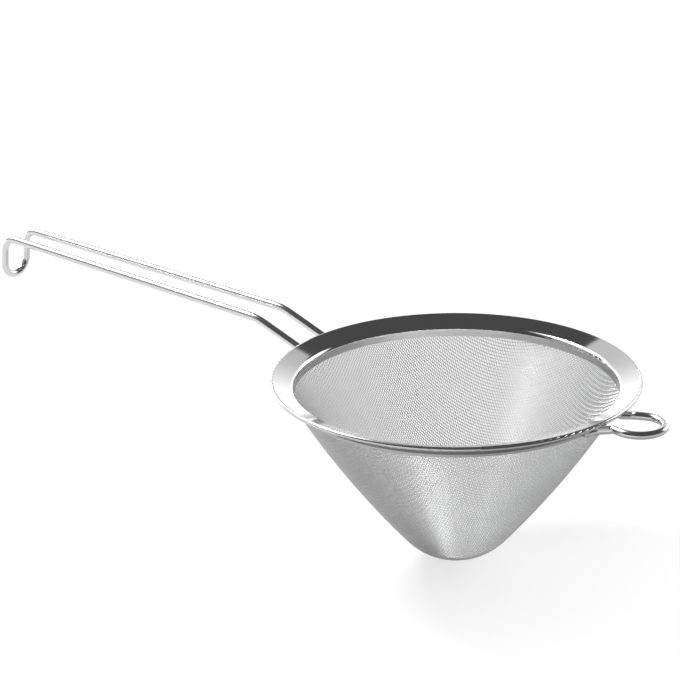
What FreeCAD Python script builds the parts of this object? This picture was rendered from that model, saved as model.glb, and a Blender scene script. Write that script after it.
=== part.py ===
# Conical kitchen strainer: a woven wire basket clamped in a pressed rim, with a hairpin wire handle
# that ends in a hanging bow, and a wire loop opposite it that rests on the edge of a pot.
# Millimetres. The origin is on the basket's axis, at mid height of the collar's straight wall.
# +Z points up out of the mouth and the handle runs along -X.
import FreeCAD, Part
import math
import os

from FreeCAD import Vector

# Pressed rim: a sloping flange with its outer edge curled under and a collar turned down inside
mouth_r = 78.4
collar_h = 3.3
flange_w = 11.6
flange_slope = 19.0
sheet = 0.6
lip_bend = 0.55
throat_bend = 1.8
lip_flat = 0.1
curl_flat = 0.6

# Basket: drawn wire cloth, two wires thick, with a long curved flank and a soft round tip
cloth = 0.8
basket_depth = 85.4
flank_curve = 490.0
tip_curve = 34.0

# Plain square grid of openings along the cloth's wires, far fewer and wider than the weave's own
grid_pitch = 15.85
grid_bar = 5.3
weave_turn = 18.0
least_share = 0.3

# Band that holds the cloth's edge against the collar
band = 0.8

# Round wire of the handle and of the rest loop
wire_d = 4.0

# Handle: two legs that rise from under the rim, then run out and draw together to the bow
leg_climb = 18.8
handle_rise = 1.2
knee_out = 29.1
grip_run = 180.8
knee_spread = 19.4
bow_spread = 16.0
bow_drop = 23.0
bow_kick = 1.8
heel_bend = 7.0
knee_bend = 30.0
hook_bend = 7.5

# Rest loop: a round loop drawn in at its neck, with a splayed foot on each side, off the handle's line
loop_angle = 7.6
loop_out = 22.2
loop_spread = 24.4
shoulder_run = 2.3
neck_run = 5.2
neck_pinch = 1.85
neck_bend = 6.0
foot_angle = 9.7
foot_run = 5.0
foot_bend = 5.0

# Weld metal, and the gap left where separate pieces seat on each other
weld_throat = 0.7
weld_run = 2.2
bead_r = 0.35
bead_bite = 0.15
bead_run = 5.0
seat = 0.05

# Places that follow from the sizes above
UP = Vector(0, 0, 1)
AXIS = Vector(0, 0, 0)
wire_r = wire_d / 2
rim_r = mouth_r + flange_w
slope = math.radians(flange_slope)
collar_top = collar_h / 2
collar_foot = -collar_h / 2
throat_z = collar_top + (throat_bend + sheet) * math.tan((math.pi / 2 - slope) / 2)
rim_z = throat_z + flange_w * math.tan(slope)
lip_foot = rim_z - lip_flat - (lip_bend + sheet) * (1 + math.tan((math.pi / 2 + slope) / 2))
curl_end = rim_r - lip_bend - sheet - curl_flat
cloth_in = mouth_r + sheet + seat
band_in = cloth_in + cloth + seat
band_out = band_in + band


def under_flange(radius):
    """Height of the flange's underside at a radius."""
    return throat_z + (radius - mouth_r) * math.tan(slope) - sheet / math.cos(slope)


def rounded(points, radii):
    """Edges of a path through the points: straight runs joined by tangent arcs of the given radii."""
    touching = 1e-6
    edges = []
    start = points[0]
    for before, corner, after, radius in zip(points, points[1:], points[2:], radii):
        back = (before - corner).normalize()
        ahead = (after - corner).normalize()
        half_angle = back.getAngle(ahead) / 2
        reach = radius / math.tan(half_angle)
        inward = (back + ahead).normalize()
        first = corner + back * reach
        middle = corner + inward * (radius / math.sin(half_angle) - radius)
        last = corner + ahead * reach
        if first.distanceToPoint(start) > touching:
            edges.append(Part.LineSegment(start, first).toShape())
        edges.append(Part.Arc(first, middle, last).toShape())
        start = last
    edges.append(Part.LineSegment(start, points[-1]).toShape())
    return edges


def beside(points, distance):
    """A bent line in the XZ plane moved to the left of its direction of travel."""
    normals = []
    for here, there in zip(points, points[1:]):
        along = (there - here).normalize()
        normals.append(Vector(-along.z, 0, along.x))
    moved = [points[0] + normals[0] * distance]
    for corner, one, two in zip(points[1:], normals, normals[1:]):
        moved.append(corner + (one + two) * (distance / (1 + one.dot(two))))
    moved.append(points[-1] + normals[-1] * distance)
    return moved


def turned(edges):
    """Solid of revolution about the basket's axis, from the edges of a closed half section."""
    face = Part.Face(Part.Wire(Part.__sortEdges__(edges)))
    return face.revolve(AXIS, UP, 360)


def tube(points, radii):
    """Round wire bent along a path."""
    path = Part.Wire(rounded(points, radii))
    section = Part.Wire(Part.makeCircle(wire_r, points[0], points[1] - points[0]))
    solid = path.makePipeShell([section], True, False)
    straight_volume = math.pi * wire_r ** 2 * path.Length
    print(f"  wire length {path.Length:.1f}, volume ratio {solid.Volume / straight_volume:.5f}")
    return solid


def arc_about(centre, start, end):
    """Arc from start to end about a centre, the short way."""
    radius = (start - centre).Length
    middle = centre + ((start - centre) + (end - centre)).normalize() * radius
    return Part.Arc(start, middle, end).toShape()


def mirrored(shape):
    """The same shape on the other side of the XZ plane."""
    return shape.mirror(AXIS, Vector(0, 1, 0))


def on_loop_side(shape):
    """Turns a shape drawn about the +X axis to where the rest loop stands."""
    return shape.rotate(AXIS, UP, loop_angle)


def rim_ring():
    """Pressed sheet ring of one thickness: curled lip, sloping flange and collar."""
    face_side = [
        Vector(curl_end, 0, lip_foot),
        Vector(rim_r, 0, lip_foot),
        Vector(rim_r, 0, rim_z),
        Vector(mouth_r, 0, throat_z),
        Vector(mouth_r, 0, collar_foot),
    ]
    back_side = beside(face_side, sheet)
    back_bends = [lip_bend, lip_bend, throat_bend]
    edges = rounded(face_side, [bend + sheet for bend in back_bends])
    edges += rounded(back_side, back_bends)
    edges.append(Part.LineSegment(face_side[0], back_side[0]).toShape())
    edges.append(Part.LineSegment(face_side[-1], back_side[-1]).toShape())
    return turned(edges)


def clamp_band():
    """Plain band round the collar that clamps the cloth's edge."""
    ring = Part.makeCylinder(band_out, collar_h, Vector(0, 0, collar_foot))
    return ring.cut(Part.makeCylinder(band_in, collar_h, Vector(0, 0, collar_foot)))


def flank_centre(edge, tip_centre):
    """Centre of the flank's arc, which starts at the cloth's edge and runs smoothly into the tip's arc."""
    apart = (tip_centre - edge).Length
    along = (tip_centre - edge).normalize()
    upward = Vector(along.z, 0, -along.x)
    reach = (flank_curve ** 2 - (flank_curve - tip_curve) ** 2 + apart ** 2) / (2 * apart)
    return edge + along * reach + upward * math.sqrt(flank_curve ** 2 - reach ** 2)


def cloth_side(radius, edge_z, centre, tip_centre, thickness):
    """One face of the basket's half section: the clamped edge, the flank and the round tip."""
    flank = flank_curve + thickness
    blend = centre + (tip_centre - centre).normalize() * flank
    tip = tip_centre - UP * (tip_curve + thickness)
    top = Vector(radius, 0, collar_top)
    edge = Vector(radius, 0, edge_z)
    clamped = Part.LineSegment(top, edge).toShape()
    return [clamped, arc_about(centre, edge, blend), arc_about(tip_centre, blend, tip)], top, tip


def weave_openings():
    """Upright prisms of a square grid about the axis, stopped one bar short of the cloth's clamped edge."""
    side = grid_pitch - grid_bar
    tall = 2 * basket_depth
    foot = Vector(0, 0, collar_foot - tall)
    bounds = Part.makeCylinder(cloth_in - grid_bar, tall, foot)
    reach = math.ceil(cloth_in / grid_pitch)
    starts = [step * grid_pitch + grid_bar / 2 for step in range(-reach, reach)]
    prisms = []
    for x in starts:
        for y in starts:
            prism = Part.makeBox(side, side, tall, foot + Vector(x, y, 0)).common(bounds)
            if prism.Volume > least_share * side ** 2 * tall:
                prisms.append(prism)
    print(f"  {len(prisms)} openings {side:.1f} mm wide, {len(starts)} across")
    return prisms


def mesh_basket():
    """Wire cloth basket as one sheet of the cloth's thickness, with a grid of openings along the wires."""
    tip_centre = Vector(0, 0, collar_foot - basket_depth + cloth + tip_curve)
    edge = Vector(cloth_in, 0, collar_foot - seat)
    centre = flank_centre(edge, tip_centre)
    cloth_out = cloth_in + cloth
    outer_edge_z = centre.z - math.sqrt((flank_curve + cloth) ** 2 - (cloth_out - centre.x) ** 2)
    inside, top_in, tip_in = cloth_side(cloth_in, edge.z, centre, tip_centre, 0)
    outside, top_out, tip_out = cloth_side(cloth_out, outer_edge_z, centre, tip_centre, cloth)
    closing = [Part.LineSegment(top_in, top_out).toShape(), Part.LineSegment(tip_in, tip_out).toShape()]
    shell = turned(inside + outside + closing)
    return shell.cut(weave_openings()).rotate(AXIS, UP, weave_turn)


def leg_height():
    """Height of the handle's legs where they run under the flange to the band."""
    return under_flange(band_out) - wire_r - seat


def handle_wire():
    """Hairpin of one wire: leg, bow hanging at the far end, and the other leg."""
    climb = math.radians(leg_climb)
    leg_z = leg_height()
    heel_x = rim_r - (lip_foot - seat - wire_r / math.cos(climb) - leg_z) / math.tan(climb)
    knee_x = rim_r + knee_out
    bow_x = knee_x + grip_run
    knee_z = leg_z + (knee_x - heel_x) * math.tan(climb)
    hook_z = knee_z + grip_run * math.tan(math.radians(handle_rise))
    knee_y = knee_spread / 2
    bow_y = bow_spread / 2
    one_leg = [
        Vector(-mouth_r, -knee_y, leg_z),
        Vector(-heel_x, -knee_y, leg_z),
        Vector(-knee_x, -knee_y, knee_z),
        Vector(-bow_x, -bow_y, hook_z),
        Vector(-bow_x - bow_kick, -bow_y, hook_z - bow_drop),
    ]
    other_leg = [Vector(point.x, -point.y, point.z) for point in reversed(one_leg)]
    bends = [heel_bend, knee_bend, hook_bend, bow_y]
    wire = tube(one_leg + other_leg, bends + bends[::-1])
    return wire.cut(seat_cylinder())


def seat_cylinder():
    """Space inside the face that the legs and welds stand on."""
    return Part.makeCylinder(band_out + seat, rim_r, Vector(0, 0, -rim_r / 2))


def handle_welds():
    """A fillet of weld metal round the lower half of each leg, where it meets the band."""
    leg_y = knee_spread / 2
    leg_z = leg_height()
    band_x = math.sqrt((band_out + seat) ** 2 - leg_y ** 2)
    section = Part.makePolygon([
        Vector(-mouth_r, -leg_y - wire_r, leg_z),
        Vector(-mouth_r, -leg_y - wire_r - weld_throat, leg_z),
        Vector(-band_x, -leg_y - wire_r - weld_throat, leg_z),
        Vector(-band_x - weld_run, -leg_y - wire_r, leg_z),
        Vector(-mouth_r, -leg_y - wire_r, leg_z),
    ])
    fillet = Part.Face(section).revolve(Vector(0, -leg_y, leg_z), Vector(1, 0, 0), 180)
    fillet = fillet.cut(seat_cylinder())
    return Part.makeCompound([fillet, mirrored(fillet)])


def foot_place():
    """Middle of the near foot, at mid height of the band, and the foot's direction towards its free end."""
    turn = math.radians(foot_angle)
    foot_r = band_out + seat + wire_r
    middle = Vector(foot_r * math.cos(turn), -foot_r * math.sin(turn), 0)
    return middle, Vector(-math.sin(turn), -math.cos(turn), 0)


def loop_path():
    """Corner points of the rest loop, drawn about the +X axis, and the bend at each."""
    middle, outward = foot_place()
    loop_z = lip_foot - seat - wire_r
    half = loop_spread / 2
    tip_x = rim_r + loop_out
    shoulder_x = tip_x - half - shoulder_run
    shoulder_bend = shoulder_run / math.tan(math.atan2(neck_pinch, neck_run) / 2)
    one_side = [
        middle + outward * (foot_run / 2),
        middle - outward * (foot_run / 2),
        Vector(shoulder_x - neck_run, neck_pinch - half, loop_z),
        Vector(shoulder_x, -half, loop_z),
        Vector(tip_x, -half, loop_z),
    ]
    other_side = [Vector(point.x, -point.y, point.z) for point in reversed(one_side)]
    bends = [foot_bend, neck_bend, shoulder_bend, half]
    return one_side + other_side, bends + bends[::-1]


def rest_loop():
    """Wire loop with a foot lying along the band on each side."""
    points, bends = loop_path()
    return on_loop_side(tube(points, bends))


def rest_loop_welds():
    """A bead of weld metal in the groove under each foot, between the wire and the band."""
    middle, outward = foot_place()
    inward = Vector(-middle.x, -middle.y, 0).normalize()
    drop = 2 * math.sqrt(wire_r * bead_r)
    start = middle + inward * (wire_r - bead_r) - UP * drop - outward * (bead_run / 2)
    bead = Part.makeCylinder(bead_r + bead_bite, bead_run, start, outward)
    foot = Part.makeCylinder(wire_r, 2 * bead_run, middle - outward * bead_run, outward)
    bead = bead.cut(foot).cut(seat_cylinder())
    return on_loop_side(Part.makeCompound([bead, mirrored(bead)]))


def main():
    os.makedirs("parts", exist_ok=True)
    for make in (rim_ring, clamp_band, mesh_basket, handle_wire, handle_welds, rest_loop, rest_loop_welds):
        shape = make()
        shape.exportStep(f"parts/{make.__name__}.step")
        box = shape.BoundBox
        print(f"{make.__name__}: {len(shape.Solids)} solid(s), {shape.Volume:.0f} mm3")
        print(f"  valid {shape.isValid()}, {box.XLength:.1f} by {box.YLength:.1f} by {box.ZLength:.1f} mm")


main()
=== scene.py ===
# %% [markdown]
# # A conical wire strainer
# The strainer is a basket of woven wire held in a pressed steel rim, with a handle and a rest loop of
# round wire. Its solids are already made to size, so this lesson only dresses them: a real weave for
# the basket, steel finishes for the rest, and a white studio to show them in. Loading the solids first
# means that every new piece is measured from them and never placed by eye.

# %% Load the solids
import math

import bmesh
import bpy
from mathutils import Matrix, Vector
from mathutils.bvhtree import BVHTree


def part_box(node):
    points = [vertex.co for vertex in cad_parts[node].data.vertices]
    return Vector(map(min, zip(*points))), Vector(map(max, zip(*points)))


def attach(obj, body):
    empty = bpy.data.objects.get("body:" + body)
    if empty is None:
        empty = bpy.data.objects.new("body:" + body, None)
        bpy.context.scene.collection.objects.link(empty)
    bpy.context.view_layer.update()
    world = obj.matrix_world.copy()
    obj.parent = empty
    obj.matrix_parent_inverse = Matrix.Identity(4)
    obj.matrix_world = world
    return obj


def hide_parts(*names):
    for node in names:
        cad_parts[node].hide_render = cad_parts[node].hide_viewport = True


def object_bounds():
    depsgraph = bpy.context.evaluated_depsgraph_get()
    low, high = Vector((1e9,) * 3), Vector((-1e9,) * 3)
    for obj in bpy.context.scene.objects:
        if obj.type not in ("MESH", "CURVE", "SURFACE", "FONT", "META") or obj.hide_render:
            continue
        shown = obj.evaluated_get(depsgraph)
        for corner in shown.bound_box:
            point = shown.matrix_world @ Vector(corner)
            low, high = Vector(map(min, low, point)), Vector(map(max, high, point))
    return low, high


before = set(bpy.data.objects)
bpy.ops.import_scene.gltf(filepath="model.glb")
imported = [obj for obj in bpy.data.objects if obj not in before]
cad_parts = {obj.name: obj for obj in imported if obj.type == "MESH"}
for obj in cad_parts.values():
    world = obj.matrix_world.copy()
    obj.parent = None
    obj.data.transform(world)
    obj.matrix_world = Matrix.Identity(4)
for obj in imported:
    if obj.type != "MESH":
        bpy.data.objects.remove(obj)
solid_low, solid_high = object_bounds()
print("solids:", ", ".join(sorted(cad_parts)))
print("size in mm:", [round(1000 * (high - low), 1) for low, high in zip(solid_low, solid_high)])

# %% [markdown]
# ## The camera
# A product shot like this one is taken with a long lens from well back, looking down into the mouth by
# about twenty degrees. The camera could be aimed with a constraint, but writing its three axes down as
# vectors makes the small roll easy to add and leaves nothing live in the scene.

# %% Camera
view_turn = math.radians(40.53)
view_height = math.radians(20.72)
view_roll = math.radians(-0.67)
rim_middle = Vector((0, 0, 0.00653))
rim_in_view = Vector((0.05603, 0.01807, 1.68997))
picture_px = 680
lens_px = 3500

level_right = Vector((math.cos(view_turn), math.sin(view_turn), 0))
level_ahead = Vector((-math.sin(view_turn), math.cos(view_turn), 0))
ahead = level_ahead * math.cos(view_height) - Vector((0, 0, math.sin(view_height)))
level_down = ahead.cross(level_right)
right = level_right * math.cos(view_roll) - level_down * math.sin(view_roll)
down = level_right * math.sin(view_roll) + level_down * math.cos(view_roll)

lens = bpy.data.cameras.new("camera")
lens.sensor_width = 36
lens.lens = lens.sensor_width * lens_px / picture_px
lens.clip_start = 0.05
lens.clip_end = 20
camera = bpy.data.objects.new("camera", lens)
bpy.context.collection.objects.link(camera)
turn = Matrix((right, -down, -ahead)).transposed()
place = rim_middle - right * rim_in_view.x - down * rim_in_view.y - ahead * rim_in_view.z
camera.matrix_world = Matrix.Translation(place) @ turn.to_4x4()
bpy.context.scene.camera = camera
print("lens in mm:", round(lens.lens, 1), "camera stands at", [round(c, 3) for c in place])

# %% [markdown]
# ## Shader sums as plain Python
# A finish is mostly arithmetic on patterns. Wiring Math nodes one by one hides that arithmetic, so a
# small class wraps a socket and lets plus, minus, times and power build the Math nodes. A second class
# holds one material and has a single method that adds any other kind of node.

# %% Helpers for finishes
class Number:
    """A shader socket that can be used in sums."""

    def __init__(self, tree, socket):
        self.tree = tree
        self.socket = socket

    def sum_node(self, operation, first, second):
        node = self.tree.nodes.new("ShaderNodeMath")
        node.operation = operation
        for entry, given in zip(node.inputs, (first, second)):
            if isinstance(given, Number):
                self.tree.links.new(given.socket, entry)
            else:
                entry.default_value = given
        return Number(self.tree, node.outputs[0])

    def __add__(self, other):
        return self.sum_node("ADD", self, other)

    def __radd__(self, other):
        return self.sum_node("ADD", other, self)

    def __sub__(self, other):
        return self.sum_node("SUBTRACT", self, other)

    def __rsub__(self, other):
        return self.sum_node("SUBTRACT", other, self)

    def __mul__(self, other):
        return self.sum_node("MULTIPLY", self, other)

    def __rmul__(self, other):
        return self.sum_node("MULTIPLY", other, self)

    def __pow__(self, other):
        return self.sum_node("POWER", self, other)


class Finish:
    """One material, or the world, and its nodes."""

    def __init__(self, owner):
        owner.use_nodes = True
        self.owner = owner
        self.tree = owner.node_tree

    def add(self, kind, settings=None, **inputs):
        """Adds a node, sets it up, then fills its sockets with values or links."""
        node = self.tree.nodes.new(kind)
        for name, value in (settings or {}).items():
            setattr(node, name, value)
        self.fill(node, inputs)
        return node

    def fill(self, node, inputs):
        for name, given in inputs.items():
            entry = node.inputs[name.replace("_", " ")]
            if isinstance(given, Number):
                self.tree.links.new(given.socket, entry)
            else:
                entry.default_value = given

    def read(self, node, output):
        return Number(self.tree, node.outputs[output])

    def shader(self, **inputs):
        """Fills the sockets of the material's own shader."""
        self.fill(self.tree.nodes["Principled BSDF"], inputs)


print("finish helpers ready")

# %% [markdown]
# ## Polished sheet
# The rim is pressed from thin sheet and then buffed on a spinning wheel, so it mirrors the room, with
# faint rings where the wheel ran and soft cloudy patches from handling. Both can be painted, but rings
# about the axis and a slow noise give them on every side without a map. The wheel does not reach down
# into the collar, which stays dull, and it only brushes the rolled lip. All of this changes how rough
# the metal is and not its shape, because scratches would blur the clean edges of the reflections.

# %% Rim finish
def spot(finish):
    """Where the surface is, in the object's own metres."""
    return finish.read(finish.add("ShaderNodeTexCoord"), "Object")


def cloud(finish, place, scale, detail):
    """A soft noise from 0 to 1."""
    noise = finish.add("ShaderNodeTexNoise", None, Vector=place, Scale=scale, Detail=detail)
    return finish.read(noise, "Fac")


def tint(finish, amount, dark, light):
    """A colour between two, chosen by an amount from 0 to 1."""
    mix = finish.add("ShaderNodeMix", {"data_type": "RGBA"}, Factor=amount)
    mix.inputs[6].default_value = (*dark, 1)
    mix.inputs[7].default_value = (*light, 1)
    return Number(finish.tree, mix.outputs[2])


def from_axis(finish, place):
    """Distance of the surface from the basket's axis."""
    parts = finish.add("ShaderNodeSeparateXYZ", None, Vector=place)
    across = finish.read(parts, "X")
    along = finish.read(parts, "Y")
    return (across * across + along * along) ** 0.5


def rings(finish, radius, per_metre):
    """Fine irregular rings about the basket's axis, from 0 to 1."""
    settings = {"noise_dimensions": "1D"}
    noise = finish.add("ShaderNodeTexNoise", settings, W=radius * per_metre, Scale=1.0, Detail=3.0)
    return finish.read(noise, "Fac")


def height(finish, place):
    """Height of the surface above the frame's origin."""
    return finish.read(finish.add("ShaderNodeSeparateXYZ", None, Vector=place), "Z")


def step(finish, value, low, high):
    """Runs smoothly from 0 to 1 as the value goes from low to high."""
    settings = {"interpolation_type": "SMOOTHSTEP"}
    node = finish.add("ShaderNodeMapRange", settings, Value=value, From_Min=low, From_Max=high)
    return finish.read(node, "Result")


rim_finish = Finish(bpy.data.materials.new("rim_steel"))
place_on_rim = spot(rim_finish)
handling = cloud(rim_finish, place_on_rim, scale=28.0, detail=3.0)
rim_radius = from_axis(rim_finish, place_on_rim)
wheel_marks = rings(rim_finish, rim_radius, per_metre=2600.0)
fade = 0.0006
lip_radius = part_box("rim_ring")[1].x
rolled = step(rim_finish, rim_radius, lip_radius - 3 * fade, lip_radius - fade)
band_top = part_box("clamp_band")[1].z
buffed = step(rim_finish, height(rim_finish, place_on_rim), band_top - fade, band_top + fade)
rim_finish.shader(
    Metallic=1.0,
    Base_Color=tint(rim_finish, handling, (0.74, 0.74, 0.75), (0.82, 0.82, 0.825)),
    Roughness=0.28 - 0.25 * buffed + 0.15 * rolled + 0.03 * wheel_marks + 0.04 * handling,
)
print("made", rim_finish.owner.name)

# %% [markdown]
# ## Drawn wire, strip and weld metal
# The handle and the loop are bent from bright drawn wire, so their marks run along the wire and show as
# a slight unevenness of the gloss. The band under the rim is plain strip with a satin face; along its top
# it has painted shade, darker where the narrow gap under the flange lies in shadow. The welds are brushed
# clean but stay rougher and a little brown from the heat. All three are soft noises with different grains,
# mixed into colour and roughness.

# %% Wire, band and weld finishes
wire_finish = Finish(bpy.data.materials.new("wire_steel"))
place_on_wire = spot(wire_finish)
drawing = cloud(wire_finish, place_on_wire, scale=90.0, detail=4.0)
wire_finish.shader(
    Metallic=1.0,
    Base_Color=tint(wire_finish, drawing, (0.77, 0.77, 0.78), (0.84, 0.84, 0.845)),
    Roughness=0.12 + 0.08 * drawing,
)

band_finish = Finish(bpy.data.materials.new("band_steel"))
place_on_band = spot(band_finish)
satin = cloud(band_finish, place_on_band, scale=140.0, detail=4.0)
# Painted shade: the band's colour darkens along its top, where the narrow gap under the flange lies in
# shadow.
crevice_foot = -0.0006
crevice_top = -0.0002
crevice_shade_mask = step(band_finish, height(band_finish, place_on_band), crevice_foot, crevice_top)
painted_crevice_shade = crevice_shade_mask * (0.8 + 0.2 * satin)
band_finish.shader(
    Metallic=1.0,
    Base_Color=tint(band_finish, painted_crevice_shade, (0.5, 0.5, 0.51), (0.16, 0.16, 0.16)),
    Roughness=0.26 + 0.12 * satin,
)

weld_finish = Finish(bpy.data.materials.new("weld_steel"))
place_on_weld = spot(weld_finish)
heat = cloud(weld_finish, place_on_weld, scale=420.0, detail=3.0)
weld_finish.shader(
    Metallic=1.0,
    Base_Color=tint(weld_finish, heat, (0.40, 0.34, 0.28), (0.62, 0.61, 0.60)),
    Roughness=0.35 + 0.2 * heat,
)

worn_by = {
    "rim_ring": rim_finish,
    "clamp_band": band_finish,
    "handle_wire": wire_finish,
    "rest_loop": wire_finish,
    "handle_welds": weld_finish,
    "rest_loop_welds": weld_finish,
}
for node_name, finish in worn_by.items():
    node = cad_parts[node_name]
    node.data.materials.clear()
    node.data.materials.append(finish.owner)
    print(node_name, "wears", finish.owner.name)

# %% [markdown]
# ## The woven basket
# The cloth is a plain weave: each wire goes over one neighbour and under the next. It is woven flat and
# drawn over a cone, and seen from above its wires still make a square grid. The same steps are followed
# here: points of a flat grid are dropped onto the basket's form, lifted or sunk by half a wire along the
# surface, and joined by a curve of round section. The solid basket has a plain grid of bars in place of
# the weave, so the form is read with a ray that always comes down on one bar, at the point's own distance
# from the axis. Holes in a shell would be lighter, but they would lose the knuckles that catch the light.

# %% Weave sizes and the form under the cloth
mesh_pitch = 0.00088
wire_across = 0.00034
weave_turn = math.radians(18)
bar_way = Vector((math.cos(weave_turn), math.sin(weave_turn), 0))
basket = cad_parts["mesh_basket"]
form = BVHTree.FromObject(basket, bpy.context.evaluated_depsgraph_get())
basket_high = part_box("mesh_basket")[1]
open_radius = form.ray_cast(Vector((0, 0, 0)), bar_way)[0].length
cloth_middle = (basket_high.x - open_radius) / 2
edge_radius = open_radius + cloth_middle
clamp_top = basket_high.z - wire_across
clamp_foot = -basket_high.z
wires_each_side = int(open_radius / mesh_pitch)
print("wires each way:", 2 * wires_each_side + 1, "edge radius in mm:", round(1000 * edge_radius, 2))


# %% Lay one wire on the form
def laid(flat, side):
    """A point of the flat grid, dropped to the middle of the cloth and moved to one side by half a wire."""
    over_bar = bar_way * flat.length + Vector((0, 0, basket_high.z))
    hit, normal, _, _ = form.ray_cast(over_bar, Vector((0, 0, -1)))
    lift = side * wire_across / 2 - cloth_middle
    if normal.z < 0:
        lift = -lift
    radius = flat.length + lift * normal.dot(bar_way)
    return flat.normalized() * radius + Vector((0, 0, hit.z + lift * normal.z))


def wire_route(number, along, across, first_side):
    """One wire's points: up in the clamp, over and under through the cloth, and up in the clamp again."""
    offset = across * (number * mesh_pitch)
    reach = math.sqrt(edge_radius ** 2 - offset.length_squared)
    steps = int(math.sqrt(open_radius ** 2 - offset.length_squared) / mesh_pitch)
    points = []
    for crossing in range(-steps, steps + 1):
        side = first_side if (crossing + number) % 2 else -first_side
        points.append(laid(offset + along * (crossing * mesh_pitch), side))
    ends = []
    for way in (-1, 1):
        foot = offset + along * (way * reach)
        ends.append([Vector((foot.x, foot.y, clamp_top)), Vector((foot.x, foot.y, clamp_foot))])
    return ends[0] + points + ends[1][::-1]


# %% [markdown]
# ## Drawing the wires
# The wires are bright, but dulled in soft patches by washing. Each one is a thin tube along its route, with
# few sides, because it is finer than a pixel in most pictures. One mesh for all the wires would be heavy to
# handle, so each direction of the weave is drawn in two halves.

# %% Weave the cloth
mesh_finish = Finish(bpy.data.materials.new("mesh_steel"))
place_on_mesh = spot(mesh_finish)
dulling = cloud(mesh_finish, place_on_mesh, scale=35.0, detail=3.0)
mesh_finish.shader(
    Metallic=1.0,
    Base_Color=tint(mesh_finish, dulling, (0.78, 0.78, 0.79), (0.88, 0.88, 0.885)),
    Roughness=0.3 + 0.1 * dulling,
)


def wire_bundle(name, turn_angle, numbers, first_side):
    """Some of the wires that run one way through the cloth, as one mesh."""
    along = Vector((math.cos(turn_angle), math.sin(turn_angle), 0))
    across = Vector((-along.y, along.x, 0))
    curve = bpy.data.curves.new(name, "CURVE")
    curve.dimensions = "3D"
    curve.bevel_depth = wire_across / 2
    curve.bevel_resolution = 1
    for number in numbers:
        route = wire_route(number, along, across, first_side)
        spline = curve.splines.new("POLY")
        spline.points.add(len(route) - 1)
        spline.points.foreach_set("co", [c for point in route for c in (*point, 1)])
    drawn = bpy.data.objects.new(name + "_route", curve)
    bpy.context.collection.objects.link(drawn)
    finished = drawn.evaluated_get(bpy.context.evaluated_depsgraph_get())
    mesh = bpy.data.meshes.new_from_object(finished)
    bpy.data.objects.remove(drawn)
    mesh.shade_smooth()
    mesh.materials.clear()
    mesh.materials.append(mesh_finish.owner)
    bundle = bpy.data.objects.new(name, mesh)
    bpy.context.collection.objects.link(bundle)
    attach(bundle, "root")
    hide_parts("mesh_basket")
    mesh.calc_loop_triangles()
    print(name, "has", len(mesh.loop_triangles), "triangles")


one_half = range(-wires_each_side, 0)
other_half = range(0, wires_each_side + 1)
for half_name, numbers in (("one_half", one_half), ("other_half", other_half)):
    wire_bundle("warp_wires_" + half_name, weave_turn, numbers, 1)
    wire_bundle("weft_wires_" + half_name, weave_turn + math.pi / 2, numbers, -1)

# %% [markdown]
# ## The studio
# Bright metal shows the room more than itself. Here the room has a white sweep behind the strainer, with
# a top edge that leans a little, and is dark above and in front of it. The sloping far flange then mirrors
# the dark, and the sides of the rim mirror the sweep. A lit cloth high on the left draws the bright lines
# along the wires, a smaller one on the right lifts the far left of the throat, and a grey wall beside the
# handle keeps its dark line soft. A narrow dark card in the sweep gives the handle's upper edge a thin grey
# line, which would otherwise melt into the white. Panels could stand in the scene for all of these, but
# then they would have to be hidden from the camera, and the world is never in the way.

# %% Directions in the studio
scene = bpy.context.scene
scene.view_settings.view_transform = "Standard"
world = bpy.data.worlds.new("studio")
scene.world = world
room = Finish(world)
heading = room.read(room.add("ShaderNodeTexCoord"), "Generated")


def from_studio(turn_right, height_up):
    """The direction of a place in the studio: degrees to the right of straight ahead, and degrees up."""
    side = math.radians(turn_right)
    up = math.radians(height_up)
    level = level_ahead * math.cos(side) + level_right * math.sin(side)
    return level * math.cos(up) + Vector((0, 0, math.sin(up)))


def facing(finish, direction, way):
    """How far a direction points a given way, from -1 to 1."""
    node = finish.add("ShaderNodeVectorMath", {"operation": "DOT_PRODUCT"})
    finish.tree.links.new(direction.socket, node.inputs[0])
    node.inputs[1].default_value = way
    return finish.read(node, "Value")


def lit_patch(turn_right, height_up, outer, inner):
    """A round patch of the room with a soft edge: 0 outside the outer angle, 1 inside the inner one."""
    toward = facing(room, heading, from_studio(turn_right, height_up))
    return step(room, toward, math.cos(math.radians(outer)), math.cos(math.radians(inner)))


print("straight ahead is", [round(c, 2) for c in level_ahead])

# %% Light of the room
sweep_top = 0.606
sweep_lean = 0.175
edge_blur = 0.006
upward = facing(room, heading, (0, 0, 1))
rightward = facing(room, heading, level_right)
leaning_up = upward + sweep_lean * rightward
behind = step(room, facing(room, heading, level_ahead), 0.55, 0.7)
below_edge = 1 - step(room, leaning_up, sweep_top - edge_blur, sweep_top + edge_blur)
card_sides = step(room, rightward, -0.09, -0.05) - step(room, rightward, 0.02, 0.06)
card_height = step(room, upward, 0.06, 0.14) - step(room, upward, 0.38, 0.5)
sweep = (1.7 - 1.15 * step(room, upward, 0, 0.55)) * (1 - 0.3 * rightward)
sweep_with_card = sweep * behind * below_edge * (1 - 0.9 * card_sides * card_height)
left_cloth = 2.7 * lit_patch(-57, 41, outer=27, inner=10)
right_cloth = 2.4 * lit_patch(58, 17, outer=22, inner=6)
grey_wall = 0.3 * lit_patch(-85, 15, outer=28, inner=22)
dark_room = 0.075
seen = room.read(room.add("ShaderNodeLightPath"), "Is Camera Ray")
room_light = dark_room + grey_wall + left_cloth + right_cloth + sweep_with_card
backdrop = room.tree.nodes["Background"]
room.fill(backdrop, {"Color": (1, 1, 1, 1), "Strength": room_light * (1 - seen) + seen})
print("sweep reaches up to degrees:", round(math.degrees(math.asin(sweep_top))))
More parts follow.
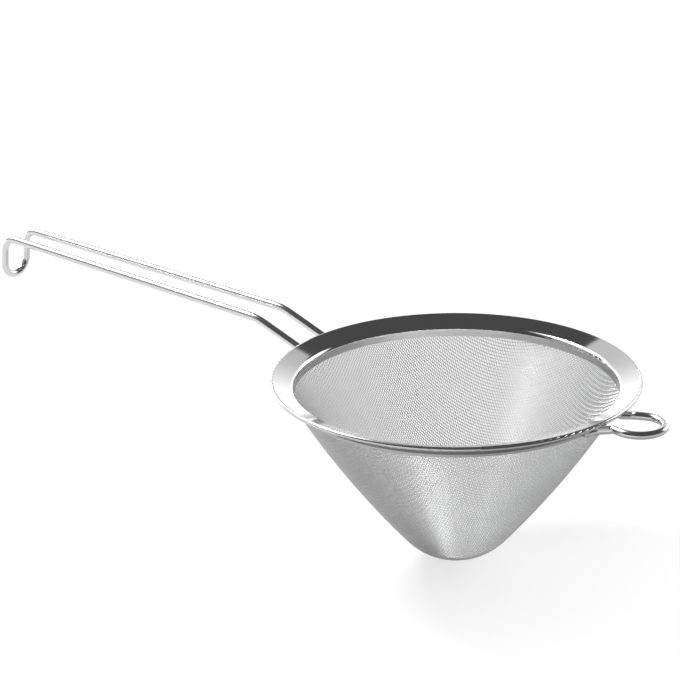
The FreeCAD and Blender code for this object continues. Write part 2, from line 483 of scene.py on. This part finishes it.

# %% [markdown]
# ## The floor
# A white floor under a lamp is never as even as the floor of a product picture. This one glows by itself:
# the camera sees it white, and close under the basket it glows less and takes more real light, so that the
# shadow shows there. In the metal it carries painted shade: it looks darker near the strainer, where the
# strainer's own shadow would fall, than far behind it, as a table does that ends in a bright sweep, and
# darker on the right, away from the lamp. A lit floor could do the same with many lamps, but the metal
# would show them.

# %% Floor
floor_level = solid_low.z
floor_size = 6.0
floor_mesh = bpy.data.meshes.new("floor")
sheet = bmesh.new()
down_to_floor = Matrix.Translation((0, 0, floor_level))
bmesh.ops.create_grid(sheet, x_segments=1, y_segments=1, size=floor_size, matrix=down_to_floor)
sheet.to_mesh(floor_mesh)
sheet.free()
floor = bpy.data.objects.new("floor", floor_mesh)
bpy.context.collection.objects.link(floor)
floor_finish = Finish(bpy.data.materials.new("floor_white"))
shadow_reach = 0.15
dark_reach = 0.25
place_on_floor = spot(floor_finish)
from_tip = from_axis(floor_finish, place_on_floor)
to_the_back = facing(floor_finish, place_on_floor, level_ahead)
to_the_right = facing(floor_finish, place_on_floor, level_right)
clear_floor = step(floor_finish, from_tip, 0, shadow_reach)
out_of_painted_shadow = step(floor_finish, from_tip, 0, dark_reach)
far_floor = step(floor_finish, to_the_back, 0.2, 0.6)
painted_shade_on_right = step(floor_finish, to_the_right, -0.12, 0.12)
floor_seen = floor_finish.read(floor_finish.add("ShaderNodeLightPath"), "Is Camera Ray")
camera_glow = 0.59 + 0.38 * clear_floor
# Painted shade in the metal's view of the floor: darker near the strainer, where its shadow would fall, and
# darker on the right, away from the lamp.
mirror_glow = (0.16 + 0.54 * out_of_painted_shadow + 0.9 * far_floor) * (1.14 - 0.44 * painted_shade_on_right)
floor_glow = camera_glow * floor_seen + mirror_glow * (1 - floor_seen)
brightest = 2.0
floor_finish.shader(
    Base_Color=tint(floor_finish, clear_floor, (0.55, 0.55, 0.55), (0.06, 0.06, 0.06)),
    Roughness=1.0,
    Emission_Color=tint(floor_finish, floor_glow * (1 / brightest), (0, 0, 0), (1, 1, 1)),
    Emission_Strength=brightest,
)
floor_mesh.materials.append(floor_finish.owner)
print("floor at mm:", round(1000 * floor_level, 1))

# %% [markdown]
# ## The lamp
# One lamp stands behind the middle of the left cloth. A sun with a wide face is as strong on the end of
# the handle as on the basket, where a lamp close by would fade along it. The width of its face sets how
# soft the shadow is that ties the tip of the basket to the floor.

# %% Lamp
lamp = bpy.data.lights.new("lamp_behind_cloth", "SUN")
lamp.energy = 1.9
lamp.angle = math.radians(14)
lamp_stand = bpy.data.objects.new("lamp_behind_cloth", lamp)
bpy.context.collection.objects.link(lamp_stand)
lamp_stand.rotation_euler = from_studio(-53, 50).to_track_quat("Z", "Y").to_euler()
print("lamp's face in degrees:", round(math.degrees(lamp.angle)))
